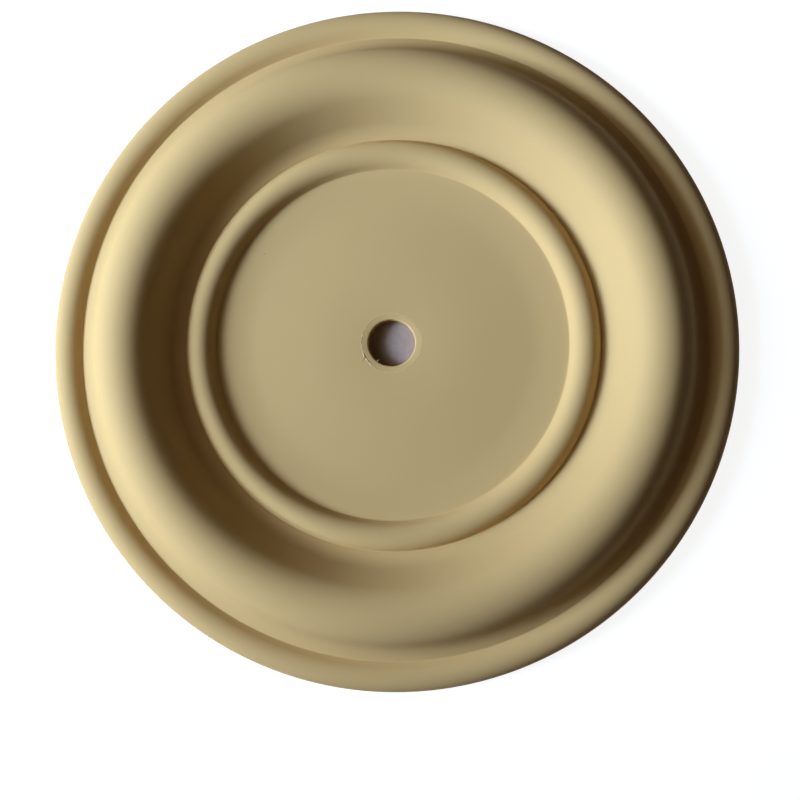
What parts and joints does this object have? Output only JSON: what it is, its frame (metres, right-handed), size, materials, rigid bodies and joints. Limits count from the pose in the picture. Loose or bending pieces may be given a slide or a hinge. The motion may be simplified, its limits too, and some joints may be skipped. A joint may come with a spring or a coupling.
{
  "type": "pump diaphragm",
  "caption": "Round moulded rubber pump diaphragm: flat clamping disc with a centre hole and a ring rib, a raised flexing roll and a thick rim bead.",
  "frame": {"origin": "on the axis, in the plane that the disc's underside and the bead lie on", "axes": "+Z along the axis, out of the side on which the roll stands up"},
  "size_m": [0.28, 0.28, 0.021],
  "materials": {
    "moulded_rubber": "matte, fine mould grain"
  },
  "bodies": {
    "root": {"diaphragm": "moulded_rubber"}
  },
  "joints": []
}
